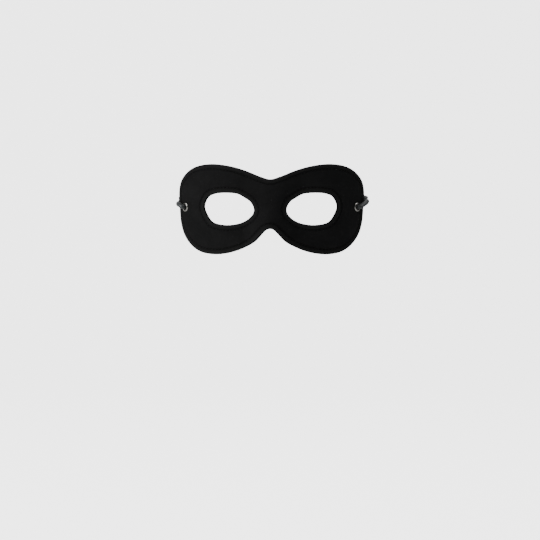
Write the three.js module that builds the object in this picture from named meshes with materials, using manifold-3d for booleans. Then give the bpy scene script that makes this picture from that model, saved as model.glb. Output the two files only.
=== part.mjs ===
// A felt domino mask, in millimetres, in the form that it has when worn.
// The front faces -Y, +Z is up and +X is the wearer's left. The origin is on the felt's inner face,
// on the centre line, at the height of the eyelets, where the mask sits on the bridge of the nose.
import * as THREE from 'three';
import { mergeVertices } from 'three/addons/utils/BufferGeometryUtils.js';
import Module from 'manifold-3d';

const wasm = await Module();
wasm.setup();

// Felt panel, measured along the felt as if it lay flat, from the centre line and the eyelets' height
const PANEL_HALF_WIDTH = 88.8;
const PANEL_THICKNESS = 2.4;
const BROW_HEIGHT = 35.4;
const BROW_DIP_HEIGHT = 22.2;
const CHEEK_DROP = 39.1;
const NOTCH_DROP = 17.8;
const EDGE_SOFTNESS = 0.5;

// Eye holes
const EYE_HOLE_WIDTH = 45.1;
const EYE_HOLE_HEIGHT = 27.4;
const EYE_HOLE_FROM_CENTRE = 35;
const EYE_HOLE_DROP = 1.6;

// How the face bends the panel
const WRAP_ANGLE = THREE.MathUtils.degToRad(60);
const WRAP_POWER = 1.4;
const NOSE_RIDGE_AT_NOTCH = 8;
const NOSE_RIDGE_AT_DIP = 2.5;
const NOSE_RIDGE_HALF_WIDTH = 24;
const BROW_LEAN = 4;
const CHEEK_LEAN = 2;

// Metal eyelets
const EYELET_TO_SIDE = 10.4;
const EYELET_HOLE_RADIUS = 2.1;
const EYELET_RIM_RADIUS = 3.8;
const EYELET_WALL = 0.35;
const EYELET_RIM_HEIGHT = 0.45;
const EYELET_SIDES = 20;

// Elastic cord and its knots
const CORD_DIAMETER = 3;
const KNOT_LENGTH = 7.2;
const KNOT_DIAMETER = 6;
const TAIL_LENGTH = 9;
const CORD_SIDES = 8;
const KNOT_SIDES = 12;
const KNOT_RINGS = 8;
const STRAND_STEPS = 64;
const LOOP_STEPS = 36;
const TAIL_STEPS = 4;

const CLEARANCE = 0.3;

// Border of the wearer's left half, from the centre line at the brow round to the centre line at the notch.
// across is a share of PANEL_HALF_WIDTH. rise runs from 0 at the brow's dip to 1 at its highest.
const BROW_ROWS = [
  { across: 0, rise: 0 },
  { across: 0.09, rise: 0.175 },
  { across: 0.22, rise: 0.54 },
  { across: 0.37, rise: 0.84 },
  { across: 0.57, rise: 1 },
  { across: 0.755, rise: 0.83 },
];

// up is a share of BROW_HEIGHT above the eyelets and of CHEEK_DROP below them.
const SIDE_ROWS = [
  { across: 0.885, up: 0.78 },
  { across: 0.97, up: 0.58 },
  { across: 1, up: 0.36 },
  { across: 0.985, up: 0 },
  { across: 0.962, up: -0.32 },
  { across: 0.91, up: -0.565 },
  { across: 0.81, up: -0.795 },
  { across: 0.69, up: -0.945 },
];

// drop runs from 0 at the notch to 1 at the cheek's lowest.
const CHEEK_ROWS = [
  { across: 0.54, drop: 1 },
  { across: 0.39, drop: 0.94 },
  { across: 0.25, drop: 0.75 },
  { across: 0.142, drop: 0.51 },
  { across: 0.073, drop: 0.21 },
  { across: 0.031, drop: 0.035 },
  { across: 0, drop: 0 },
];

// Eye hole, from its inner corner over the top. across and up are shares of its width and height.
const EYE_HOLE_ROWS = [
  { across: -0.5, up: -0.03 },
  { across: -0.43, up: 0.215 },
  { across: -0.32, up: 0.34 },
  { across: -0.17, up: 0.465 },
  { across: 0.045, up: 0.5 },
  { across: 0.265, up: 0.475 },
  { across: 0.41, up: 0.375 },
  { across: 0.5, up: 0.085 },
  { across: 0.43, up: -0.205 },
  { across: 0.315, up: -0.41 },
  { across: 0.065, up: -0.5 },
  { across: -0.17, up: -0.465 },
  { across: -0.345, up: -0.36 },
  { across: -0.455, up: -0.22 },
];

// An eyelet's rolled rim, from its outer edge over the top into the hole. out is a share of the rim's width
// and up is a share of its height.
const EYELET_RIM_ROWS = [
  { out: 0.92, up: 0 },
  { out: 1, up: 0.35 },
  { out: 0.8, up: 0.85 },
  { out: 0.5, up: 1 },
  { out: 0.2, up: 0.8 },
  { out: 0, up: 0 },
];

// Mesh density of the panel
const BORDER_STEPS = 72;
const CENTRE_LINE_STEPS = 9;
const FACE_RINGS = 7;
const HOLE_SAMPLES = 360;

// The cord's route on the wearer's left, mirrored for the right
const STRAND_ROUTE = [
  [77.3, 50.5, 6.5],
  [78.2, 60, 7],
  [79.9, 76, 7.6],
  [81, 92, 8],
  [81.3, 107, 8.3],
  [79.8, 127, 9],
  [75.2, 146, 11],
  [66.8, 164, 14],
  [54, 178.4, 16.4],
  [38, 188, 17.6],
  [19.6, 192.9, 18],
  [0, 194.4, 18],
];
const KNOT_CENTRE = [77.2, 46.5, 6];
const TAIL_DIRECTION = [-0.3, 0.35, -0.88];
const LOOP_ROUTE = [
  [73.6, 43.9, 4.8],
  [73.7, 42.8, 4.1],
  [73, 40.6, 3],
  [71.8, 38.1, 1.6],
  [70.1, 35.8, 0.5],
  [69.7, 34.1, 0.2],
  [70.9, 32.5, 0],
  [72.4, 31.2, 0],
  [74.2, 30.4, 0.2],
  [75.9, 31, 0.6],
  [77.2, 33, 1.7],
  [79.3, 36.5, 3.3],
  [80, 38.9, 4.5],
  [79.6, 41, 5.2],
  [78.6, 42.4, 5.6],
];

// three.js geometry to a solid that can be joined and cut, and back
function toSolid(geometry) {
  const bare = geometry.clone();
  bare.deleteAttribute('normal');
  bare.deleteAttribute('uv');
  const merged = mergeVertices(bare, 1e-4);
  return new wasm.Manifold(
    new wasm.Mesh({
      numProp: 3,
      vertProperties: new Float32Array(merged.attributes.position.array),
      triVerts: new Uint32Array(merged.index.array),
    }),
  );
}

function toGeometry(solid) {
  const mesh = solid.getMesh();
  const geometry = new THREE.BufferGeometry();
  geometry.setAttribute('position', new THREE.BufferAttribute(mesh.vertProperties, 3));
  geometry.setIndex(new THREE.BufferAttribute(mesh.triVerts, 1));
  geometry.computeVertexNormals();
  return geometry;
}

// The panel's plan curve: its direction turns by WRAP_ANGLE * s ** WRAP_POWER, where s is the share of the
// half width from the centre line. The sums below are the series of the integrals of cos and sin of that.
function planPoint(along) {
  const share = Math.abs(along) / PANEL_HALF_WIDTH;
  const plan = { out: 0, back: 0 };
  const seriesTerms = 12;
  let factor = 1;
  for (let n = 0; n < seriesTerms; n += 1) {
    const power = WRAP_POWER * n + 1;
    const sign = Math.floor(n / 2) % 2 === 0 ? 1 : -1;
    const term = (sign * factor * share ** power) / power;
    if (n % 2 === 0) plan.out += term;
    else plan.back += term;
    factor *= WRAP_ANGLE / (n + 1);
  }
  plan.out *= Math.sign(along) * PANEL_HALF_WIDTH;
  plan.back *= PANEL_HALF_WIDTH;
  return plan;
}

// How far the nose lifts the felt forward at the centre line, at a height
function ridgeCrest(up) {
  const share = (up + NOTCH_DROP) / (BROW_DIP_HEIGHT + NOTCH_DROP);
  return THREE.MathUtils.lerp(NOSE_RIDGE_AT_NOTCH, NOSE_RIDGE_AT_DIP, share);
}

// Point on the felt's inner face for a place in the flat pattern
function innerPoint(along, up) {
  const plan = planPoint(along);
  const flank = Math.min(Math.abs(along) / NOSE_RIDGE_HALF_WIDTH, 1);
  const ridge = ridgeCrest(up) * Math.cos((flank * Math.PI) / 2) ** 2;
  const lean = up > 0 ? BROW_LEAN * (up / BROW_HEIGHT) ** 2 : CHEEK_LEAN * (up / CHEEK_DROP) ** 2;
  return new THREE.Vector3(plan.out, plan.back - ridge + lean + ridgeCrest(0), up);
}

// Unit direction out of the felt's front face
function frontNormal(along, up) {
  const reach = 0.01;
  const sideways = innerPoint(along + reach, up).sub(innerPoint(along - reach, up));
  const upwards = innerPoint(along, up + reach).sub(innerPoint(along, up - reach));
  return sideways.cross(upwards).normalize();
}

// Point at a height above the felt's inner face
function feltPoint(along, up, height) {
  return innerPoint(along, up).addScaledVector(frontNormal(along, up), height);
}

function borderPlace(row) {
  const across = row.across * PANEL_HALF_WIDTH;
  if (row.rise !== undefined) {
    return new THREE.Vector3(across, THREE.MathUtils.lerp(BROW_DIP_HEIGHT, BROW_HEIGHT, row.rise), 0);
  }
  if (row.drop !== undefined) {
    return new THREE.Vector3(across, -THREE.MathUtils.lerp(NOTCH_DROP, CHEEK_DROP, row.drop), 0);
  }
  return new THREE.Vector3(across, row.up * (row.up > 0 ? BROW_HEIGHT : CHEEK_DROP), 0);
}

// Flat border of the wearer's left half, evenly spaced, with its first and last points on the centre line
function halfBorder() {
  const half = [...BROW_ROWS, ...SIDE_ROWS, ...CHEEK_ROWS].map(borderPlace);
  const mirrored = half.slice(1, -1).reverse().map((p) => new THREE.Vector3(-p.x, p.y, 0));
  const curve = new THREE.CatmullRomCurve3([...half, ...mirrored], true, 'centripetal');
  const points = curve.getSpacedPoints(2 * BORDER_STEPS).slice(0, BORDER_STEPS + 1);
  points[0].x = 0;
  points[BORDER_STEPS].x = 0;
  return points;
}

const eyeHoleCentre = new THREE.Vector3(EYE_HOLE_FROM_CENTRE, -EYE_HOLE_DROP, 0);

// The eye hole's edge as fine samples, each with its direction from the hole's centre
function eyeHoleSamples() {
  const places = EYE_HOLE_ROWS.map(
    (row) => new THREE.Vector3(row.across * EYE_HOLE_WIDTH, row.up * EYE_HOLE_HEIGHT, 0),
  );
  const curve = new THREE.CatmullRomCurve3(places, true, 'centripetal');
  return curve.getSpacedPoints(HOLE_SAMPLES).map((offset) => ({
    turn: Math.atan2(offset.y, offset.x),
    reach: offset.length(),
  }));
}

// The point of the eye hole's edge that lies straight between the hole's centre and a place
function eyeHoleTowards(place, samples) {
  const offset = place.clone().sub(eyeHoleCentre);
  const turn = Math.atan2(offset.y, offset.x);
  const away = (sample) => Math.abs(Math.atan2(Math.sin(sample.turn - turn), Math.cos(sample.turn - turn)));
  const [first, second] = [...samples].sort((a, b) => away(a) - away(b));
  const share = away(first) / Math.max(away(first) + away(second), Number.EPSILON);
  const reach = THREE.MathUtils.lerp(first.reach, second.reach, share);
  return offset.setLength(reach).add(eyeHoleCentre);
}

// A closed line of flat places moved sideways by a distance, to the left of its direction
function movedSideways(points, distance) {
  return points.map((point, i) => {
    const before = points[(i + points.length - 1) % points.length];
    const after = points[(i + 1) % points.length];
    const ahead = after.clone().sub(before).normalize();
    return new THREE.Vector3(point.x - ahead.y * distance, point.y + ahead.x * distance, 0);
  });
}

// The rays that the panel's mesh follows, from the eye hole to the border and then the centre line
function panelRays() {
  const border = halfBorder();
  const mirrored = border.slice(1, -1).reverse().map((p) => new THREE.Vector3(-p.x, p.y, 0));
  const inset = movedSideways([...border, ...mirrored], -EDGE_SOFTNESS).slice(0, border.length);
  const [browEnd, notchEnd] = [inset[0], inset[BORDER_STEPS]];
  const ends = border.map((edge, i) => ({ edge, face: inset[i], onBorder: true }));
  for (let i = 1; i < CENTRE_LINE_STEPS; i += 1) {
    const place = notchEnd.clone().lerp(browEnd, i / CENTRE_LINE_STEPS);
    ends.push({ edge: place, face: place, onBorder: false });
  }
  const samples = eyeHoleSamples();
  const holeEdge = ends.map((end) => eyeHoleTowards(end.edge, samples));
  const holeFace = movedSideways(holeEdge, EDGE_SOFTNESS);
  return ends.map((end, i) => ({ ...end, holeEdge: holeEdge[i], holeFace: holeFace[i] }));
}

// One ray's closed section, from the eye hole over the front face, round the border and over the back face
function raySection(ray, side) {
  const front = PANEL_THICKNESS;
  const point = (place, height) => feltPoint(side * place.x, place.y, height);
  const faces = { front: [], back: [] };
  for (let i = 0; i <= FACE_RINGS; i += 1) {
    const place = ray.holeFace.clone().lerp(ray.face, i / FACE_RINGS);
    faces.front.push(point(place, front));
    faces.back.unshift(point(place, 0));
  }
  return [
    point(ray.holeEdge, front - EDGE_SOFTNESS),
    ...faces.front,
    point(ray.edge, front - EDGE_SOFTNESS),
    point(ray.edge, EDGE_SOFTNESS),
    ...faces.back,
    point(ray.holeEdge, EDGE_SOFTNESS),
  ];
}

// Both halves of the panel as one closed surface. Halves meet at the centre line, where no wall is made.
function feltSheet() {
  const rays = panelRays();
  const corners = [];
  const wallStart = FACE_RINGS + 1;
  const wallEnd = wallStart + 3;
  for (const side of [1, -1]) {
    const sections = rays.map((ray) => raySection(ray, side));
    sections.forEach((section, i) => {
      const next = (i + 1) % sections.length;
      const walled = rays[i].onBorder && rays[next].onBorder && next !== 0;
      section.forEach((a, k) => {
        if (!walled && k >= wallStart && k < wallEnd) return;
        const above = (k + 1) % section.length;
        const [b, c, d] = [sections[next][k], sections[next][above], section[above]];
        corners.push(...(side > 0 ? [a, b, c, a, c, d] : [a, c, b, a, d, c]));
      });
    });
  }
  return new THREE.BufferGeometry().setFromPoints(corners);
}

// A geometry that stands along +Y at its own origin, set through the felt at an eyelet's place
function setInFelt(geometry, side) {
  const along = side * (PANEL_HALF_WIDTH - EYELET_TO_SIDE);
  const turn = new THREE.Quaternion().setFromUnitVectors(new THREE.Vector3(0, 1, 0), frontNormal(along, 0));
  const middle = feltPoint(along, 0, PANEL_THICKNESS / 2);
  return geometry.applyQuaternion(turn).translate(middle.x, middle.y, middle.z);
}

function maskPanel() {
  const holeRadius = EYELET_HOLE_RADIUS + EYELET_WALL + CLEARANCE;
  const cutterHeight = PANEL_THICKNESS + 2 * EYELET_RIM_RADIUS;
  let solid = toSolid(feltSheet());
  for (const side of [1, -1]) {
    const cutter = new THREE.CylinderGeometry(holeRadius, holeRadius, cutterHeight, EYELET_SIDES);
    solid = solid.subtract(toSolid(setInFelt(cutter, side)));
  }
  return toGeometry(solid);
}

// Eyelet: a short tube with a rolled rim at each end, which holds the felt between them
function eyelet(side) {
  const outer = EYELET_HOLE_RADIUS + EYELET_WALL;
  const seat = PANEL_THICKNESS / 2 + CLEARANCE;
  const rimWidth = EYELET_RIM_RADIUS - EYELET_HOLE_RADIUS;
  const rim = EYELET_RIM_ROWS.map(
    ({ out, up }) => new THREE.Vector2(EYELET_HOLE_RADIUS + out * rimWidth, seat + up * EYELET_RIM_HEIGHT),
  );
  const front = [new THREE.Vector2(outer, seat), ...rim];
  const back = front.map((point) => new THREE.Vector2(point.x, -point.y)).reverse();
  const profile = [...front, ...back, front[0].clone()];
  return setInFelt(new THREE.LatheGeometry(profile, EYELET_SIDES), side);
}

const onSide = (side) => ([x, y, z]) => new THREE.Vector3(side * x, y, z);

function cordTube(route, steps) {
  const section = new THREE.Shape();
  section.absarc(0, 0, CORD_DIAMETER / 2, 0, 2 * Math.PI);
  const curve = new THREE.CatmullRomCurve3(route, false, 'centripetal');
  const corners = new THREE.Shape(section.getSpacedPoints(CORD_SIDES).slice(0, CORD_SIDES));
  return new THREE.ExtrudeGeometry(corners, { steps, extrudePath: curve, bevelEnabled: false });
}

function elasticStrand() {
  const left = STRAND_ROUTE.map(onSide(1));
  const right = STRAND_ROUTE.slice(0, -1).reverse().map(onSide(-1));
  return cordTube([...left, ...right], STRAND_STEPS);
}

// Knot: a plain bead of the knot's size, with the cut end of the cord standing out of it
function knot(side) {
  const centre = onSide(side)(KNOT_CENTRE);
  const bead = new THREE.SphereGeometry(0.5, KNOT_SIDES, KNOT_RINGS);
  bead.scale(KNOT_DIAMETER, KNOT_LENGTH, KNOT_DIAMETER).translate(centre.x, centre.y, centre.z);
  const tip = onSide(side)(TAIL_DIRECTION).setLength(TAIL_LENGTH).add(centre);
  return toGeometry(toSolid(bead).add(toSolid(cordTube([centre, tip], TAIL_STEPS))));
}

const felt = new THREE.MeshStandardMaterial({ color: 0x1a1b1b, roughness: 0.95, metalness: 0 });
const metal = new THREE.MeshStandardMaterial({ color: 0xb8b4ad, roughness: 0.3, metalness: 1 });
const elastic = new THREE.MeshStandardMaterial({ color: 0x50585c, roughness: 0.5, metalness: 0 });

const mask = new THREE.Group();

function addPiece(name, geometry, material) {
  const mesh = new THREE.Mesh(geometry, material);
  mesh.name = name;
  mask.add(mesh);
}

addPiece('mask_panel', maskPanel(), felt);
addPiece('elastic_cord', elasticStrand(), elastic);
for (const [label, side] of [['left', 1], ['right', -1]]) {
  addPiece(`eyelet_${label}`, eyelet(side), metal);
  addPiece(`cord_loop_${label}`, cordTube(LOOP_ROUTE.map(onSide(side)), LOOP_STEPS), elastic);
  addPiece(`knot_${label}`, knot(side), elastic);
}

export default mask;
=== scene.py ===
import functools
import math

import bmesh
import bpy
import numpy as np
from mathutils import Matrix, Vector, noise


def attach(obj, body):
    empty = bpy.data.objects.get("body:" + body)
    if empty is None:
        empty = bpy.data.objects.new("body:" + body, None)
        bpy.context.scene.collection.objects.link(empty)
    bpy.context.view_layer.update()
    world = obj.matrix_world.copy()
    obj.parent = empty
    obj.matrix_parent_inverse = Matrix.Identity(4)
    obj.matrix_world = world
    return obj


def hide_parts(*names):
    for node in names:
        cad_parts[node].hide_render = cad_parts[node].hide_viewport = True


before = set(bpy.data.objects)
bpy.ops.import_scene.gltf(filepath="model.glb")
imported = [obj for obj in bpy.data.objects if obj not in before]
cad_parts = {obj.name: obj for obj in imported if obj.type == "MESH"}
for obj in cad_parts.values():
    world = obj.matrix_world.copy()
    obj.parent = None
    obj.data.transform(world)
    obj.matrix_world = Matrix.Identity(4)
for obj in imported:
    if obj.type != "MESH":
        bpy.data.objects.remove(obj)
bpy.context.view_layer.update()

MM = 0.001

# Felt panel, measured along the felt as if it lay flat, from the centre line and the eyelets' height
PANEL_HALF_WIDTH = 88.8 * MM
PANEL_THICKNESS = 2.4 * MM
BROW_HEIGHT = 35.4 * MM
BROW_DIP_HEIGHT = 22.2 * MM
CHEEK_DROP = 39.1 * MM
NOTCH_DROP = 17.8 * MM

# Eye holes
EYE_HOLE_WIDTH = 45.1 * MM
EYE_HOLE_HEIGHT = 27.4 * MM
EYE_HOLE_CENTRE = np.array((35 * MM, -1.6 * MM))

# How the face bends the panel
WRAP_ANGLE = math.radians(60)
WRAP_POWER = 1.4
NOSE_RIDGE_AT_NOTCH = 8 * MM
NOSE_RIDGE_AT_DIP = 2.5 * MM
NOSE_RIDGE_HALF_WIDTH = 24 * MM
BROW_LEAN = 4 * MM
CHEEK_LEAN = 2 * MM
WAVE_DEPTH = 0.22 * MM
WAVE_LENGTH = 21 * MM

# Border of the wearer's left half, the same rows as in the CAD source. across is a share of the half width,
# rise runs from the brow's dip to its highest, up is a share of the brow's height or the cheek's drop, and
# drop runs from the notch to the cheek's lowest.
BROW_ROWS = ((0, 0), (0.09, 0.175), (0.22, 0.54), (0.37, 0.84), (0.57, 1), (0.755, 0.83))
SIDE_ROWS = (
    (0.885, 0.78), (0.97, 0.58), (1, 0.36), (0.985, 0), (0.962, -0.32), (0.91, -0.565), (0.81, -0.795),
    (0.69, -0.945),
)
CHEEK_ROWS = ((0.54, 1), (0.39, 0.94), (0.25, 0.75), (0.142, 0.51), (0.073, 0.21), (0.031, 0.035), (0, 0))

# Eye hole from its inner corner over the top, as shares of its width and height about its centre
EYE_HOLE_ROWS = (
    (-0.5, -0.03), (-0.43, 0.215), (-0.32, 0.34), (-0.17, 0.465), (0.045, 0.5), (0.265, 0.475),
    (0.41, 0.375), (0.5, 0.085), (0.43, -0.205), (0.315, -0.41), (0.065, -0.5), (-0.17, -0.465),
    (-0.345, -0.36), (-0.455, -0.22),
)

# Steps from a cut edge inwards over the front face: how far in, and how far the face rises there. The felt
# is rounded at its edge, stands up as a hem, and is pulled down along the topstitched seam.
FRONT_HEM_STEPS = (
    (0.10 * MM, 0.28 * MM), (0.22 * MM, 0.22 * MM), (0.38 * MM, 0.12 * MM), (0.60 * MM, 0.05 * MM),
    (1.15 * MM, 0.01 * MM), (1.25 * MM, -0.08 * MM), (0.35 * MM, -0.16 * MM), (0.25 * MM, -0.12 * MM),
    (0.25 * MM, 0.12 * MM), (0.40 * MM, 0.16 * MM), (0.80 * MM, 0.05 * MM),
)
BACK_HEM_STEPS = (
    (0.12 * MM, 0.26 * MM), (0.32 * MM, 0.18 * MM), (0.90 * MM, 0.06 * MM), (2.40 * MM, 0),
    (0.56 * MM, -0.20 * MM), (0.56 * MM, 0.20 * MM), (0.85 * MM, 0),
)
WALL_LEVELS = (0.50 * MM, 0.98 * MM, 1.08 * MM, 1.18 * MM, 1.75 * MM)
LAYER_LINE_LEVEL = WALL_LEVELS[2]
LAYER_LINE_DEPTH = 0.14 * MM
BORDER_STEPS = 124
EYE_HOLE_STEPS = 240
CENTRE_LINE_STEPS = 14
CENTRE_LINE_END = 6.5 * MM
INNER_RINGS = 7
SHORTEST_RAY = 2.7 * MM

# How far the felt's nap stands out past its cut edges
EDGE_NAP = 0.4 * MM

# Topstitching
SEAM_FROM_EDGE = 4.3 * MM
STITCH_PITCH = 3.0 * MM
STITCH_LENGTH = 2.5 * MM
THREAD_THICKNESS = 0.42 * MM
STITCH_SKEW = math.radians(5)
FRONT_STITCH_HEIGHT = PANEL_THICKNESS - 0.17 * MM
BACK_STITCH_HEIGHT = 0.13 * MM

# Metal eyelets
EYELET_ALONG = PANEL_HALF_WIDTH - 10.4 * MM
EYELET_BORE_RADIUS = 2.75 * MM
EYELET_STEPS = 56
PRESS_DEPTH = 0.10 * MM
PRESS_RADIUS = 4.2 * MM
PRESS_SOFTNESS = 0.25 * MM
PRESS_SWELL = 0.10 * MM
PRESS_SWELL_RADIUS = 5.0 * MM
PRESS_SWELL_WIDTH = 1.0 * MM

# A rolled rim of an eyelet, from the throat outwards: distance from the axis and height above the felt's
# middle
RIM_ROWS = (
    (2.10 * MM, 0), (2.10 * MM, 1.20 * MM), (2.16 * MM, 1.52 * MM), (2.36 * MM, 1.80 * MM),
    (2.72 * MM, 1.96 * MM), (3.14 * MM, 1.95 * MM), (3.52 * MM, 1.76 * MM), (3.76 * MM, 1.46 * MM),
    (3.80 * MM, 1.20 * MM), (3.68 * MM, 1.14 * MM), (3.50 * MM, 1.30 * MM), (3.10 * MM, 1.55 * MM),
    (2.70 * MM, 1.52 * MM), (2.48 * MM, 1.20 * MM), (2.45 * MM, 0),
)

# Elastic cord
CORD_DIAMETER = 3 * MM
CORD_SIDES = 32
CORD_STEP = 0.32 * MM
YARNS_AROUND = 8
YARN_PITCH = 1.25 * MM
YARN_RELIEF = 0.13 * MM
YARN_MIDDLE_HEIGHT = 0.6

# The cord's routes in millimetres on the wearer's left, which cord_route() mirrors and settles. The strand
# has the CAD source's points. The loop runs as the CAD's does, but closer round the eyelet and the felt.
STRAND_ROUTE = [
    (77.3, 50.5, 6.5), (78.2, 60, 7), (79.9, 76, 7.6), (81, 92, 8), (81.3, 107, 8.3), (79.8, 127, 9),
    (75.2, 146, 11), (66.8, 164, 14), (54, 178.4, 16.4), (38, 188, 17.6), (19.6, 192.9, 18), (0, 194.4, 18),
]
KNOT_LEG_ROUTE = [
    (77.6, 53, 6.65), (77.4, 49.6, 6.3), (77.15, 46.5, 6), (76.75, 44, 5.5), (75.3, 41.9, 4.7),
]
LOOP_ROUTE = [
    (73.4, 40.6, 3.3), (71.8, 38.1, 1.6), (70.3, 35.9, 0.5), (70.1, 34.5, 0.2), (71.4, 33, 0),
    (72.9, 31.7, 0), (74.4, 30.6, 0.2), (75.9, 31.1, 0.6), (77.2, 33, 1.7), (79.3, 36.5, 3.3),
    (80.1, 38.9, 4.4), (79.9, 41.2, 5.1), (79.4, 43, 5.5),
]
TAIL_ROUTE = [(74.85, 49.75, 4.3), (74.6, 49.8, 1.2), (74.55, 49.7, -1.9)]

# The knot: the cord's turns round itself along a slanting axis
KNOT_CENTRE = (77.2, 46.5, 6)
KNOT_AXIS = (0.104, 0.985, 0.135)
WRAP_TURNS = 2.5
WRAP_RADIUS = 2.15 * MM
WRAP_START = -2.3 * MM
WRAP_END = 2.9 * MM
WRAP_POINTS = 40

# The cord's thickness at places behind the knot's centre, in millimetres, as shares of its free thickness,
# the share that the slack loop swells to, and how near the eyelet's middle it stays thin
SQUEEZE_PLACES = (-8, -4, 1.5, 3, 4, 5)
SQUEEZE_SHARES = (1, 0.84, 0.84, 0.98, 0.98, 0.85)
LOOP_FULLNESS = 1.3
SWELLING_LENGTH = 2.5 * MM
HELD_IN_EYELET = 1 * MM

# How each side's cord has settled between the felt's edge and a little behind the knot: outwards, back and
# up, and the stretch over which that comes in from the front and goes out again to the back
SETTLED = {1: (0.7 * MM, 0, 0.3 * MM), -1: (-1.0 * MM, 0, -1.6 * MM)}
SETTLING_FROM = 33 * MM
SETTLING_FRONT_LENGTH = 5 * MM
SETTLING_TO = 72 * MM
SETTLING_BACK_LENGTH = 20 * MM

# Studio
AMBIENT_LIGHT = 0.13
BACKDROP_GLOW = 3.0


def camera_and_light():
    """The photograph's viewing angle, and large soft lights: from the viewer's left, from above on the right
    and from behind."""
    azimuth = math.radians(1.7)
    pitch = math.radians(1.6625)
    distance = 1.8
    sideways = -0.1 * MM
    camera = bpy.data.objects.new("camera", bpy.data.cameras.new("camera"))
    camera.data.sensor_width = 36
    camera.data.lens = 144.6
    right = Vector((math.cos(azimuth), math.sin(azimuth), 0))
    camera.location = Vector((math.sin(azimuth), -math.cos(azimuth), 0)) * distance + right * sideways
    camera.rotation_euler = (math.radians(90) - pitch, 0, azimuth)
    bpy.context.scene.collection.objects.link(camera)
    bpy.context.scene.camera = camera

    for name, place, size, power in (
        ("key_light", (-2.2, -0.9, 1.1), 1.5, 90),
        ("top_light", (1.5, -0.35, 1.9), 1.4, 30),
        ("back_light", (0.2, 1.5, 1.7), 1.4, 12),
    ):
        light = bpy.data.lights.new(name, "AREA")
        light.size = size
        light.energy = power
        lamp = bpy.data.objects.new(name, light)
        lamp.location = place
        lamp.rotation_euler = (-Vector(place)).to_track_quat("-Z", "Y").to_euler()
        lamp.visible_camera = False
        bpy.context.scene.collection.objects.link(lamp)

    world = bpy.data.worlds.new("studio")
    world.use_nodes = True
    tree = world.node_tree
    brightness = map_range(tree, seen_directly(tree), 0, 1, AMBIENT_LIGHT, BACKDROP_GLOW)
    tree.links.new(brightness, tree.nodes["Background"].inputs["Strength"])
    tree.nodes["Background"].inputs["Color"].default_value = (1, 1, 1, 1)
    bpy.context.scene.world = world


def studio_floor():
    """A pale floor that sweeps up into a backdrop, well clear of the object."""
    half_width = 3.0
    floor_height = -0.32
    sweep_radius = 0.9
    wall_height = 3.0
    bm = bmesh.new()
    bmesh.ops.create_grid(bm, x_segments=1, y_segments=1, size=half_width)
    far = [e for e in bm.edges if all(v.co.y > 0 for v in e.verts)]
    wall = bmesh.ops.extrude_edge_only(bm, edges=far)["geom"]
    wall_top = [part for part in wall if isinstance(part, bmesh.types.BMVert)]
    bmesh.ops.translate(bm, verts=wall_top, vec=(0, 0, wall_height))
    bmesh.ops.bevel(
        bm, geom=far, offset=sweep_radius, affect="EDGES", segments=16, profile=0.5, material=-1
    )
    bmesh.ops.translate(bm, verts=bm.verts[:], vec=(0, 0, floor_height))
    floor = new_piece("studio_floor", bm, pale_paper())


def pale_paper():
    """White paper that looks bright in the picture and throws no extra light on the object."""
    material, shader, tree = new_material("pale_paper")
    shader.inputs["Base Color"].default_value = (0.86, 0.86, 0.855, 1)
    shader.inputs["Roughness"].default_value = 0.9
    shader.inputs["Emission Color"].default_value = (1, 1, 1, 1)
    glow = map_range(tree, seen_directly(tree), 0, 1, 0, BACKDROP_GLOW)
    tree.links.new(glow, shader.inputs["Emission Strength"])
    return material


def seen_directly(tree):
    """1 where the camera itself sees the surface or the sky, and 0 for light that falls on the object."""
    return tree.nodes.new("ShaderNodeLightPath").outputs["Is Camera Ray"]


def new_piece(name, bm, material):
    """A smooth mesh object at the origin from a bmesh, which is used up."""
    mesh = bpy.data.meshes.new(name)
    bm.to_mesh(mesh)
    bm.free()
    mesh.shade_smooth()
    mesh.materials.append(material)
    piece = bpy.data.objects.new(name, mesh)
    bpy.context.scene.collection.objects.link(piece)
    return piece


def apply_modifiers(piece):
    """Gives a piece the mesh that its modifiers make."""
    depsgraph = bpy.context.evaluated_depsgraph_get()
    made = bpy.data.meshes.new_from_object(piece.evaluated_get(depsgraph))
    piece.modifiers.clear()
    piece.data = made


def vertex_places(mesh):
    """All vertices' places, a row each."""
    places = np.empty(len(mesh.vertices) * 3)
    mesh.vertices.foreach_get("co", places)
    return places.reshape(-1, 3)


def move_vertices(mesh, change):
    """Sends all vertices, as an array of a row each, through a function."""
    mesh.vertices.foreach_set("co", change(vertex_places(mesh)).ravel())
    mesh.update()


def curve_through(places, count, closed=False):
    """count + 1 evenly spaced places on the centripetal Catmull-Rom curve through a few."""
    places = np.array(places, float)
    if closed:
        padded = np.vstack((places[-1:], places, places[:2]))
    else:
        padded = np.vstack((2 * places[0] - places[1], places, 2 * places[-1] - places[-2]))
    steps_between = 48
    share = np.linspace(0, 1, steps_between, endpoint=False)[:, None]
    fine = []
    for before, start, end, after in zip(padded, padded[1:], padded[2:], padded[3:]):
        first, span, last = (
            math.sqrt(np.linalg.norm(b - a)) for a, b in ((before, start), (start, end), (end, after))
        )
        leaving = (start - before) / first - (end - before) / (first + span) + (end - start) / span
        arriving = (end - start) / span - (after - start) / (span + last) + (after - end) / last
        fine.append(
            start * (2 * share**3 - 3 * share**2 + 1) + end * (3 * share**2 - 2 * share**3)
            + leaving * span * (share**3 - 2 * share**2 + share) + arriving * span * (share**3 - share**2)
        )
    fine.append((places[:1] if closed else places[-1:]))
    return evenly(np.vstack(fine), count)


def evenly(line, count):
    """count + 1 places at even distances on a line of straight steps."""
    walked = np.concatenate(([0], np.cumsum(np.linalg.norm(np.diff(line, axis=0), axis=1))))
    wanted = np.linspace(0, walked[-1], count + 1)
    return np.column_stack([np.interp(wanted, walked, line[:, k]) for k in range(line.shape[1])])


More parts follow.
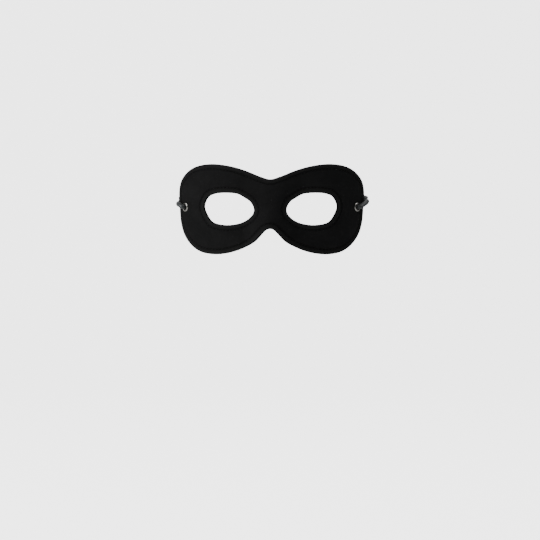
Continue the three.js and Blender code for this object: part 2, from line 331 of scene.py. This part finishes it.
def offset_loop(line, distance):
    """A closed line, without a repeat of its first place, moved to the right of its direction."""
    ahead = np.roll(line, -1, axis=0) - np.roll(line, 1, axis=0)
    ahead /= np.linalg.norm(ahead, axis=1)[:, None]
    return line + np.column_stack((ahead[:, 1], -ahead[:, 0])) * distance


def line_length(line):
    return float(np.linalg.norm(np.diff(line, axis=0), axis=1).sum())


def half_border(count):
    """Flat border of the wearer's left half with its nap, from the centre line at the brow to the notch."""
    half = [
        (across * PANEL_HALF_WIDTH, BROW_DIP_HEIGHT + rise * (BROW_HEIGHT - BROW_DIP_HEIGHT))
        for across, rise in BROW_ROWS
    ]
    half += [
        (across * PANEL_HALF_WIDTH, up * (BROW_HEIGHT if up > 0 else CHEEK_DROP)) for across, up in SIDE_ROWS
    ]
    half += [
        (across * PANEL_HALF_WIDTH, -NOTCH_DROP - drop * (CHEEK_DROP - NOTCH_DROP))
        for across, drop in CHEEK_ROWS
    ]
    mirrored = [(-x, y) for x, y in reversed(half[1:-1])]
    border = curve_through(half + mirrored, 2 * count, closed=True)[:-1]
    border = offset_loop(border, -EDGE_NAP)[: count + 1]
    border[[0, -1], 0] = 0
    return border


def eye_hole(count):
    """Flat edge of the wearer's left eye hole with its nap, without a repeat of its first place."""
    rows = np.array(EYE_HOLE_ROWS) * (EYE_HOLE_WIDTH, EYE_HOLE_HEIGHT) + EYE_HOLE_CENTRE
    return offset_loop(curve_through(rows, count, closed=True)[:-1], EDGE_NAP)


def eye_hole_towards(places):
    """Where the eye hole's edge crosses the lines from its centre to some places."""
    edge = eye_hole(3 * EYE_HOLE_STEPS) - EYE_HOLE_CENTRE
    turns = np.arctan2(edge[:, 1], edge[:, 0])
    order = np.argsort(turns)
    offsets = places - EYE_HOLE_CENTRE
    wanted = np.arctan2(offsets[:, 1], offsets[:, 0])
    reach = np.interp(wanted, turns[order], np.linalg.norm(edge, axis=1)[order], period=2 * math.pi)
    return EYE_HOLE_CENTRE + np.column_stack((np.cos(wanted), np.sin(wanted))) * reach[:, None]


def plan_curve(along):
    """Where the bent felt's inner face runs, seen from above: its direction turns by
    WRAP_ANGLE * s ** WRAP_POWER, where s is the share of the half width. The terms are the power series of
    that direction's cosine and sine, added up along s."""
    share = np.abs(along) / PANEL_HALF_WIDTH
    out = np.zeros_like(share)
    back = np.zeros_like(share)
    factor = 1.0
    terms = 12
    for n in range(terms):
        power = WRAP_POWER * n + 1
        term = (1 if n // 2 % 2 == 0 else -1) * factor * share**power / power
        if n % 2 == 0:
            out += term
        else:
            back += term
        factor *= WRAP_ANGLE / (n + 1)
    return np.sign(along) * out * PANEL_HALF_WIDTH, back * PANEL_HALF_WIDTH


def ridge_crest(up):
    """How far the ridge over the nose stands out, at a height."""
    share = (up + NOTCH_DROP) / (BROW_DIP_HEIGHT + NOTCH_DROP)
    return NOSE_RIDGE_AT_NOTCH + (NOSE_RIDGE_AT_DIP - NOSE_RIDGE_AT_NOTCH) * share


def inner_points(along, up):
    """Points on the felt's inner face for places in the flat pattern."""
    out, back = plan_curve(along)
    flank = np.minimum(np.abs(along) / NOSE_RIDGE_HALF_WIDTH, 1)
    ridge = ridge_crest(up) * np.cos(flank * math.pi / 2) ** 2
    lean = np.where(up > 0, BROW_LEAN * (up / BROW_HEIGHT) ** 2, CHEEK_LEAN * (up / CHEEK_DROP) ** 2)
    return np.column_stack((out, back - ridge + lean + ridge_crest(0), up))


def front_normals(along, up):
    """Directions out of the bent felt's front, from two short steps along its inner face."""
    reach = 0.01 * MM
    sideways = inner_points(along + reach, up) - inner_points(along - reach, up)
    upwards = inner_points(along, up + reach) - inner_points(along, up - reach)
    normals = np.cross(sideways, upwards)
    return normals / np.linalg.norm(normals, axis=1)[:, None]


def bend(places):
    """Flat places, with their height above the inner face, set on the bent felt with its slight waves."""
    along, up, height = places.T
    waves = np.array([noise.noise(Vector((x, y, 0)) / WAVE_LENGTH) for x, y in zip(along, up)])
    away = np.hypot(np.abs(along) - EYELET_ALONG, up)
    waves *= WAVE_DEPTH * (1 - np.exp(-((away / (2 * PRESS_SWELL_RADIUS)) ** 2)))
    return inner_points(along, up) + front_normals(along, up) * (height + waves)[:, None]


def press_at_eyelets(places):
    """The felt is squeezed under an eyelet's rims and swells up just outside them."""
    along, up, height = places.T
    away = np.hypot(np.abs(along) - EYELET_ALONG, up)
    squeeze = PRESS_DEPTH / (1 + np.exp((away - PRESS_RADIUS) / PRESS_SOFTNESS))
    swell = PRESS_SWELL * np.exp(-(((away - PRESS_SWELL_RADIUS) / PRESS_SWELL_WIDTH) ** 2))
    from_middle = (height - PANEL_THICKNESS / 2) / (PANEL_THICKNESS / 2)
    return np.column_stack((along, up, height + from_middle * (swell - squeeze)))


def felt_blank():
    """The panel as flat felt: an eye hole's edge is bridged to half the border, mirrored, and given its
    wall, its hem and its sunk seam."""
    border = half_border(BORDER_STEPS)
    centre_line = np.column_stack((
        np.zeros(CENTRE_LINE_STEPS + 1),
        np.linspace(-NOTCH_DROP + CENTRE_LINE_END, BROW_DIP_HEIGHT - CENTRE_LINE_END, CENTRE_LINE_STEPS + 1),
    ))
    outline = np.vstack((border, centre_line))
    same_place = 0.01 * MM
    bm = bmesh.new()
    edges = []
    for loop in (outline, eye_hole_towards(outline)):
        corners = [bm.verts.new((x, y, WALL_LEVELS[0])) for x, y in loop]
        edges += [bm.edges.new(pair) for pair in zip(corners, corners[1:] + corners[:1])]
    bmesh.ops.bridge_loops(bm, edges=edges)
    bmesh.ops.mirror(bm, geom=bm.verts[:] + bm.edges[:] + bm.faces[:], axis="X", merge_dist=same_place)

    back = bm.faces[:]
    raised = bm.verts[:] + bm.edges[:] + back
    for below, above in zip(WALL_LEVELS, WALL_LEVELS[1:]):
        keeps_back = below == WALL_LEVELS[0]
        raised = bmesh.ops.extrude_face_region(bm, geom=raised, use_keep_orig=keeps_back)["geom"]
        corners = [part for part in raised if isinstance(part, bmesh.types.BMVert)]
        bmesh.ops.translate(bm, verts=corners, vec=(0, 0, above - below))
    front = [part for part in raised if isinstance(part, bmesh.types.BMFace)]
    bmesh.ops.recalc_face_normals(bm, faces=bm.faces[:])
    bm.normal_update()
    for corner in bm.verts:
        if abs(corner.co.z - LAYER_LINE_LEVEL) < same_place:
            corner.co -= corner.normal * LAYER_LINE_DEPTH

    for faces, steps in ((front, FRONT_HEM_STEPS), (back, BACK_HEM_STEPS)):
        for inwards, lift in steps:
            bmesh.ops.inset_region(
                bm, faces=faces, thickness=inwards, depth=lift, use_boundary=True, use_even_offset=True
            )
    rays = [e for e in bm.edges if e.calc_length() > SHORTEST_RAY]
    bmesh.ops.subdivide_edges(bm, edges=rays, cuts=INNER_RINGS)
    return bm


def felt_panel():
    """The felt, rounded, pressed at its eyelets, bent as a face bends it, and bored."""
    panel = new_piece("felt_panel", felt_blank(), black_felt())
    rounding = panel.modifiers.new("rounding", "SUBSURF")
    rounding.levels = rounding.render_levels = 1
    apply_modifiers(panel)
    mark_edge_distance(panel.data)
    move_vertices(panel.data, lambda places: bend(press_at_eyelets(places)))
    bore_for_eyelets(panel)
    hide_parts("mask_panel")
    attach(panel, "root")
    return panel


def mark_edge_distance(mesh):
    """Stores each vertex's distance to the nearest cut edge, in millimetres, for the felt's material."""
    border = half_border(2 * BORDER_STEPS)
    hole = eye_hole(EYE_HOLE_STEPS)
    places = vertex_places(mesh)[:, :2]
    places[:, 0] = np.abs(places[:, 0])
    nearest = np.full(len(places), np.inf)
    for line in (border, np.vstack((hole, hole[:1]))):
        for start, end in zip(line, line[1:]):
            step = end - start
            share = np.clip(((places - start) @ step) / (step @ step), 0, 1)
            nearest = np.minimum(nearest, np.linalg.norm(places - start - share[:, None] * step, axis=1))
    attribute = mesh.attributes.new("edge_distance", "FLOAT", "POINT")
    attribute.data.foreach_set("value", nearest / MM)


def in_felt(side):
    """Matrix that stands a shape's Z axis through the felt at an eyelet's place, out of the front."""
    along = np.array([side * EYELET_ALONG])
    up = np.zeros(1)
    normal = front_normals(along, up)[0]
    middle = inner_points(along, up)[0] + normal * PANEL_THICKNESS / 2
    turn = Vector((0, 0, 1)).rotation_difference(Vector(normal))
    return Matrix.Translation(Vector(middle)) @ turn.to_matrix().to_4x4()


def bore_for_eyelets(panel):
    """Cuts the two round holes that the eyelets' tubes sit in."""
    bm = bmesh.new()
    for side in (1, -1):
        bmesh.ops.create_cone(
            bm, cap_ends=True, segments=EYELET_STEPS, radius1=EYELET_BORE_RADIUS, radius2=EYELET_BORE_RADIUS,
            depth=4 * PANEL_THICKNESS, matrix=in_felt(side),
        )
    punch = new_piece("eyelet_punch", bm, panel.data.materials[0])
    bore = panel.modifiers.new("bore", "BOOLEAN")
    bore.operation = "DIFFERENCE"
    bore.object = punch
    apply_modifiers(panel)
    bpy.data.objects.remove(punch)


def seam_lines():
    """The three flat lines that the topstitching follows: inside the border and round each eye hole."""
    half = half_border(4 * BORDER_STEPS)
    border = np.vstack((half, (half * (-1, 1))[-2:0:-1]))
    ring = offset_loop(eye_hole(2 * EYE_HOLE_STEPS), -SEAM_FROM_EDGE)
    return [offset_loop(border, SEAM_FROM_EDGE), ring, ring * (-1, 1)]


def one_stitch():
    """A visible length of thread, whose ends turn down into the felt, along X."""
    bm = bmesh.new()
    size = Matrix.Diagonal((STITCH_LENGTH / 2, THREAD_THICKNESS / 2, THREAD_THICKNESS / 2, 1))
    lie_along_x = Matrix.Rotation(math.radians(90), 4, "Y")
    bmesh.ops.create_uvsphere(bm, u_segments=8, v_segments=6, radius=1, matrix=size @ lie_along_x)
    mesh = bpy.data.meshes.new("one_stitch")
    bm.to_mesh(mesh)
    bm.free()
    return mesh


def topstitching():
    """A thread's stitches along the seams, on the front and on the back."""
    stitch = one_stitch()
    bm = bmesh.new()
    for line in seam_lines():
        closed = np.vstack((line, line[:1]))
        count = round(line_length(closed) / STITCH_PITCH)
        spots = evenly(closed, 2 * count)
        for height, first, skew in (
            (FRONT_STITCH_HEIGHT, 0, STITCH_SKEW), (BACK_STITCH_HEIGHT, 1, -STITCH_SKEW)
        ):
            for i in range(first, 2 * count, 2):
                ahead = spots[i + 1] - spots[i - 1 if i else -2]
                turn = Matrix.Rotation(math.atan2(ahead[1], ahead[0]) + skew, 4, "Z")
                placed = stitch.copy()
                placed.transform(Matrix.Translation((*spots[i], height)) @ turn)
                bm.from_mesh(placed)
                bpy.data.meshes.remove(placed)
    stitches = new_piece("topstitching", bm, sewing_thread())
    bpy.data.meshes.remove(stitch)
    move_vertices(stitches.data, bend)
    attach(stitches, "root")
    return stitches


def eyelet_ring(label, side):
    """A rolled rim at each end of a short tube, turned about the eyelet's axis."""
    bm = bmesh.new()
    front = [bm.verts.new((out, 0, up)) for out, up in RIM_ROWS]
    back = [bm.verts.new((out, 0, -up)) for out, up in RIM_ROWS[1:-1]]
    ring = front + back[::-1]
    edges = [bm.edges.new(pair) for pair in zip(ring, ring[1:] + ring[:1])]
    bmesh.ops.spin(
        bm, geom=ring + edges, axis=(0, 0, 1), cent=(0, 0, 0), angle=2 * math.pi, steps=EYELET_STEPS,
        use_merge=True,
    )
    bmesh.ops.remove_doubles(bm, verts=bm.verts[:], dist=0.001 * MM)
    bmesh.ops.transform(bm, matrix=in_felt(side), verts=bm.verts[:])
    bmesh.ops.recalc_face_normals(bm, faces=bm.faces[:])
    eyelet = new_piece(f"eyelet_ring_{label}", bm, plated_metal())
    rounding = eyelet.modifiers.new("rounding", "SUBSURF")
    rounding.levels = rounding.render_levels = 1
    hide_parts(f"eyelet_{label}")
    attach(eyelet, "root")
    return eyelet


def braided_tube(name, path, widths):
    """A braided cord: a grid rolled up round a path. widths are shares of the cord's radius, one for each
    place on the path. The vertices carry the braid's height, which the elastic's material uses to paint
    shade into the gaps between the yarns."""
    ahead = np.gradient(path, axis=0)
    ahead /= np.linalg.norm(ahead, axis=1)[:, None]
    aside = np.empty_like(path)
    across = np.cross(ahead[0], (0, 0, 1))
    for i, direction in enumerate(ahead):
        across = across - direction * (across @ direction)
        across /= np.linalg.norm(across)
        aside[i] = across
    above = np.cross(aside, ahead)
    walked = np.concatenate(([0], np.cumsum(np.linalg.norm(np.diff(path, axis=0), axis=1))))

    bm = bmesh.new()
    bm.loops.layers.uv.new("cord")
    bmesh.ops.create_grid(bm, x_segments=len(path) - 1, y_segments=CORD_SIDES, size=0.5, calc_uvs=True)
    crest = bm.verts.layers.float.new("yarn_crest")
    for corner in bm.verts:
        i = round((corner.co.x + 0.5) * (len(path) - 1))
        turn = (corner.co.y + 0.5) * 2 * math.pi
        height = yarn_height(turn / (2 * math.pi) * YARNS_AROUND, walked[i] / YARN_PITCH)
        radius = widths[i] * (CORD_DIAMETER / 2 + (height - YARN_MIDDLE_HEIGHT) * YARN_RELIEF)
        corner.co = path[i] + (aside[i] * math.cos(turn) + above[i] * math.sin(turn)) * radius
        corner[crest] = height
    bmesh.ops.remove_doubles(bm, verts=bm.verts[:], dist=0.002 * MM)
    bmesh.ops.holes_fill(bm, edges=[e for e in bm.edges if e.is_boundary], sides=0)
    bmesh.ops.recalc_face_normals(bm, faces=bm.faces[:])
    return new_piece(name, bm, braided_elastic())


def yarn_height(around, along):
    """Height of a braid's surface, from 0 in a gap to 1 on a yarn that passes over, where each yarn runs
    diagonally and the two directions pass over each other by turns."""
    level = 0.72
    passing = 0.28
    one = math.cos(math.pi * (around + along))
    other = math.cos(math.pi * (around - along))
    over = one * other
    return max(abs(one) * (level + passing * over), abs(other) * (level - passing * over))


def cord_route(points, side):
    """A route that is given in millimetres on the wearer's left, in metres on one side and settled there."""
    route = np.array(points) * (side * MM, MM, MM)
    coming = np.clip((route[:, 1] - SETTLING_FROM) / SETTLING_FRONT_LENGTH, 0, 1)
    leaving = np.clip((SETTLING_TO - route[:, 1]) / SETTLING_BACK_LENGTH, 0, 1)
    out, behind, up = SETTLED[side]
    return route + np.outer(coming * leaving, (side * out, behind, up))


def cord_path(route):
    """The cord's length on the curve through a route, and the places for its rings."""
    rough_steps = 800
    length = line_length(curve_through(route, rough_steps))
    return length, curve_through(route, round(length / CORD_STEP))


def elastic_strand():
    """The taut strand round the back of the head, from knot to knot."""
    route = np.vstack((cord_route(STRAND_ROUTE, 1), cord_route(STRAND_ROUTE, -1)[-2::-1]))
    length, path = cord_path(route)
    strand = braided_tube("elastic_strand", path, np.ones(len(path)))
    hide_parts("elastic_cord")
    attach(strand, "root")


def knot_wraps():
    """The cord's turns round itself, and where they leave into the tail, on the wearer's left."""
    axis = Vector(KNOT_AXIS).normalized()
    out = Vector((1, 0, 0))
    out = (out - axis * out.dot(axis)).normalized()
    up = out.cross(axis)
    points = []
    for i in range(WRAP_POINTS + 1):
        share = i / WRAP_POINTS
        turn = share * WRAP_TURNS * 2 * math.pi
        spot = Vector(KNOT_CENTRE) * MM + axis * (WRAP_START + share * (WRAP_END - WRAP_START))
        points.append(spot + (out * math.cos(turn) + up * math.sin(turn)) * WRAP_RADIUS)
    return np.array(points) / MM


def knotted_loop(label, side):
    """One cord that goes from the knot through the eyelet, back over the felt's edge and round itself, and
    ends in a short tail."""
    route = cord_route(np.vstack((KNOT_LEG_ROUTE, LOOP_ROUTE, knot_wraps()[1:], TAIL_ROUTE)), side)
    path = cord_path(route)[1]
    loop = braided_tube(f"knotted_loop_{label}", path, squeezed_widths(path, side))
    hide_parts(f"cord_loop_{label}", f"knot_{label}")
    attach(loop, "root")
    return loop


def squeezed_widths(path, side):
    """The cord is thinner in the knot and the eyelet than between them, and its cut end is rounded."""
    behind_knot = path[:, 1] / MM - KNOT_CENTRE[1]
    squeezed = np.interp(behind_knot, SQUEEZE_PLACES, SQUEEZE_SHARES)
    from_knot = (SQUEEZE_PLACES[1] - behind_knot) * MM
    from_eyelet = np.linalg.norm(path - np.array(in_felt(side).translation), axis=1) - HELD_IN_EYELET
    free = np.clip(from_knot / SWELLING_LENGTH, 0, 1) * np.clip(from_eyelet / SWELLING_LENGTH, 0, 1)
    widths = squeezed + (LOOP_FULLNESS - squeezed) * free

    to_tip = np.concatenate((np.cumsum(np.linalg.norm(np.diff(path[::-1], axis=0), axis=1))[::-1], [0]))
    rounding = CORD_DIAMETER / 4
    smallest = 0.02
    inside = np.clip(to_tip / rounding, smallest, 1)
    return widths * np.sqrt(1 - (1 - inside) ** 2)


def new_material(name):
    """A material, its shader node and its node tree."""
    material = bpy.data.materials.new(name)
    material.use_nodes = True
    tree = material.node_tree
    return material, tree.nodes["Principled BSDF"], tree


def group_sockets(group, inputs, outputs):
    """Named sockets of a shader node group, with defaults for the inputs."""
    for name, kind, default in inputs:
        socket = group.interface.new_socket(name, in_out="INPUT", socket_type=kind)
        socket.default_value = default
    for name, kind in outputs:
        group.interface.new_socket(name, in_out="OUTPUT", socket_type=kind)
    entry = group.nodes.new("NodeGroupInput")
    leave = group.nodes.new("NodeGroupOutput")
    return entry, leave


def map_range(tree, value, low, high, to_low, to_high):
    """Adds a Map Range node from an output socket, and gives its result's socket."""
    node = tree.nodes.new("ShaderNodeMapRange")
    tree.links.new(value, node.inputs["Value"])
    for name, number in (("From Min", low), ("From Max", high), ("To Min", to_low), ("To Max", to_high)):
        node.inputs[name].default_value = number
    return node.outputs["Result"]


def mix_colours(tree, factor, first, second):
    """Adds a Mix node for two colours, each a tuple or an output socket, and gives its result's socket."""
    node = tree.nodes.new("ShaderNodeMix")
    node.data_type = "RGBA"
    for index, value in ((0, factor), (6, first), (7, second)):
        if isinstance(value, bpy.types.NodeSocket):
            tree.links.new(value, node.inputs[index])
        else:
            node.inputs[index].default_value = value
    return node.outputs[2]


def calculate(tree, operation, first, second):
    """Adds a Math node for two numbers or output sockets, and gives its result's socket."""
    node = tree.nodes.new("ShaderNodeMath")
    node.operation = operation
    for index, value in enumerate((first, second)):
        if isinstance(value, bpy.types.NodeSocket):
            tree.links.new(value, node.inputs[index])
        else:
            node.inputs[index].default_value = value
    return node.outputs[0]


@functools.cache
def matted_fibres():
    """Node group of short fibres that lie in all directions: the highest of several stretched noises."""
    group = bpy.data.node_groups.new("matted_fibres", "ShaderNodeTree")
    entry, leave = group_sockets(
        group,
        (("Vector", "NodeSocketVector", (0, 0, 0)), ("Fibres Per Metre", "NodeSocketFloat", 2500.0)),
        (("Height", "NodeSocketFloat"), ("Loose Fibres", "NodeSocketFloat")),
    )
    heights = []
    for turn in ((0, 0.2, 0.5), (0, 0.9, -0.5), (0, 1.6, 0.4), (0, 2.4, -0.3)):
        mapping = group.nodes.new("ShaderNodeMapping")
        mapping.vector_type = "TEXTURE"
        mapping.inputs["Rotation"].default_value = turn
        mapping.inputs["Scale"].default_value = (1, 1, 6)
        group.links.new(entry.outputs["Vector"], mapping.inputs["Vector"])
        fibres = group.nodes.new("ShaderNodeTexNoise")
        fibres.inputs["Detail"].default_value = 2
        fibres.inputs["Roughness"].default_value = 0.6
        fibres.inputs["Distortion"].default_value = 0.4
        group.links.new(mapping.outputs["Vector"], fibres.inputs["Vector"])
        group.links.new(entry.outputs["Fibres Per Metre"], fibres.inputs["Scale"])
        heights.append(fibres.outputs["Fac"])
    highest = heights[0]
    for height in heights[1:]:
        highest = calculate(group, "MAXIMUM", highest, height)
    group.links.new(highest, leave.inputs["Height"])
    group.links.new(map_range(group, highest, 0.66, 0.78, 0, 1), leave.inputs["Loose Fibres"])
    return group


@functools.cache
def uneven_tone():
    """Node group of broad, soft differences of tone, from 0 to 1."""
    group = bpy.data.node_groups.new("uneven_tone", "ShaderNodeTree")
    entry, leave = group_sockets(
        group,
        (("Vector", "NodeSocketVector", (0, 0, 0)), ("Patches Per Metre", "NodeSocketFloat", 60.0)),
        (("Tone", "NodeSocketFloat"),),
    )
    patches = group.nodes.new("ShaderNodeTexNoise")
    patches.inputs["Detail"].default_value = 5
    patches.inputs["Roughness"].default_value = 0.62
    group.links.new(entry.outputs["Vector"], patches.inputs["Vector"])
    group.links.new(entry.outputs["Patches Per Metre"], patches.inputs["Scale"])
    group.links.new(map_range(group, patches.outputs["Fac"], 0.3, 0.7, 0, 1), leave.inputs["Tone"])
    return group


def placed_group(tree, group, vector, **values):
    """Places a shared node group in a material, with its own values."""
    node = tree.nodes.new("ShaderNodeGroup")
    node.node_tree = group
    tree.links.new(vector, node.inputs["Vector"])
    for name, value in values.items():
        node.inputs[name.replace("_", " ")].default_value = value
    return node


def object_place(tree):
    """The place on the piece, in metres, from the part's origin."""
    return tree.nodes.new("ShaderNodeTexCoord").outputs["Object"]


def attribute_value(tree, name):
    """A number that the mesh's vertices carry."""
    node = tree.nodes.new("ShaderNodeAttribute")
    node.attribute_name = name
    return node.outputs["Fac"]


def bump(tree, height, distance, strength, shader):
    """Gives a shader relief from an output socket's height."""
    node = tree.nodes.new("ShaderNodeBump")
    node.inputs["Distance"].default_value = distance
    node.inputs["Strength"].default_value = strength
    tree.links.new(height, node.inputs["Height"])
    tree.links.new(node.outputs["Normal"], shader.inputs["Normal"])


def black_felt():
    """Matt pressed felt: near black, slightly mottled and linty, with a painted highlight as a paler band
    along each hem, painted shade in the seams, and painted shade on the cut edges and the walls of the
    holes."""
    material, shader, tree = new_material("black_felt")
    place = object_place(tree)
    fibres = placed_group(tree, matted_fibres(), place, Fibres_Per_Metre=1900.0)
    fine = placed_group(tree, matted_fibres(), place, Fibres_Per_Metre=5200.0)
    tone = placed_group(tree, uneven_tone(), place, Patches_Per_Metre=55.0)
    from_edge = attribute_value(tree, "edge_distance")

    cloth = mix_colours(tree, tone.outputs["Tone"], (0.0068, 0.0068, 0.0069, 1), (0.0100, 0.0100, 0.0101, 1))
    lint = calculate(tree, "MULTIPLY", fibres.outputs["Loose Fibres"], 0.6)
    cloth = mix_colours(tree, lint, cloth, (0.018, 0.018, 0.0182, 1))
    # Painted highlight on the hems: a paler band up to 1.2 mm from a cut edge, fading out by 3.2 mm.
    nap = calculate(tree, "MULTIPLY", map_range(tree, from_edge, 1.2, 3.2, 1, 0), 0.55)
    cloth = mix_colours(tree, nap, cloth, (0.0150, 0.0150, 0.0152, 1))
    # Painted shade on the cut edges and the walls of the holes: nearly black up to 0.15 mm from an edge,
    # fading out by 0.8 mm.
    cut = map_range(tree, from_edge, 0.15, 0.8, 0.95, 0)
    cloth = mix_colours(tree, cut, cloth, (0.0008, 0.0008, 0.0008, 1))
    # Painted shade in the seam's groove: darkest within 0.15 mm of the seam line, gone by 0.95 mm.
    off_seam = calculate(tree, "ABSOLUTE", calculate(tree, "SUBTRACT", from_edge, SEAM_FROM_EDGE / MM), 0)
    painted_seam_shade = map_range(tree, off_seam, 0.15, 0.95, 0.6, 0)
    cloth = mix_colours(tree, painted_seam_shade, cloth, (0.0016, 0.0016, 0.0017, 1))
    tree.links.new(cloth, shader.inputs["Base Color"])
    tree.links.new(map_range(tree, fibres.outputs["Height"], 0.4, 0.8, 1, 0.86), shader.inputs["Roughness"])
    shader.inputs["Specular IOR Level"].default_value = 0.04
    shader.inputs["Sheen Weight"].default_value = 0.006
    shader.inputs["Sheen Roughness"].default_value = 0.45
    fine_relief = calculate(tree, "MULTIPLY", fine.outputs["Height"], 0.5)
    relief = calculate(tree, "ADD", fibres.outputs["Height"], fine_relief)
    bump(tree, relief, 0.35 * MM, 0.55, shader)
    return material


def sewing_thread():
    """Black twisted thread, a little glossier than the felt."""
    material, shader, tree = new_material("sewing_thread")
    place = object_place(tree)
    fibres = placed_group(tree, matted_fibres(), place, Fibres_Per_Metre=6000.0)
    height = fibres.outputs["Height"]
    colour = mix_colours(tree, height, (0.0016, 0.0016, 0.0017, 1), (0.0062, 0.0062, 0.0065, 1))
    tree.links.new(colour, shader.inputs["Base Color"])
    tree.links.new(map_range(tree, height, 0.4, 0.8, 0.7, 0.5), shader.inputs["Roughness"])
    shader.inputs["Specular IOR Level"].default_value = 0.12
    bump(tree, height, 0.1 * MM, 0.6, shader)
    return material


@functools.cache
def braided_elastic():
    """Charcoal braid, with painted shade that darkens the gaps between its yarns."""
    material, shader, tree = new_material("braided_elastic")
    place = object_place(tree)
    fibres = placed_group(tree, matted_fibres(), place, Fibres_Per_Metre=5200.0)
    tone = placed_group(tree, uneven_tone(), place, Patches_Per_Metre=180.0)
    crest = attribute_value(tree, "yarn_crest")
    yarn = mix_colours(tree, tone.outputs["Tone"], (0.021, 0.026, 0.028, 1), (0.036, 0.043, 0.046, 1))
    # Painted shade in the gaps between the yarns: near black where the braid is low, and the yarn's own
    # colour on its crests.
    colour = mix_colours(tree, map_range(tree, crest, 0.35, 0.8, 0, 1), (0.0035, 0.004, 0.0042, 1), yarn)
    tree.links.new(colour, shader.inputs["Base Color"])
    tree.links.new(map_range(tree, crest, 0.3, 1, 0.62, 0.34), shader.inputs["Roughness"])
    shader.inputs["Specular IOR Level"].default_value = 0.5
    shader.inputs["Sheen Weight"].default_value = 0.12
    bump(tree, fibres.outputs["Height"], 0.08 * MM, 0.5, shader)
    return material


@functools.cache
def plated_metal():
    """Nickel plate with fine scratches and a dull film in patches."""
    material, shader, tree = new_material("plated_metal")
    place = object_place(tree)
    tone = placed_group(tree, uneven_tone(), place, Patches_Per_Metre=700.0)
    scratches = placed_group(tree, matted_fibres(), place, Fibres_Per_Metre=3500.0)
    colour = mix_colours(tree, tone.outputs["Tone"], (0.19, 0.185, 0.175, 1), (0.36, 0.35, 0.335, 1))
    tree.links.new(colour, shader.inputs["Base Color"])
    tree.links.new(map_range(tree, tone.outputs["Tone"], 0, 1, 0.36, 0.2), shader.inputs["Roughness"])
    shader.inputs["Metallic"].default_value = 1
    bump(tree, scratches.outputs["Height"], 0.02 * MM, 0.3, shader)
    return material


camera_and_light()
knotted_loops = [knotted_loop(label, side) for label, side in (("left", 1), ("right", -1))]
elastic_strand()
studio_floor()
eyelets = [eyelet_ring(label, side) for label, side in (("left", 1), ("right", -1))]
panel = felt_panel()
stitches = topstitching()
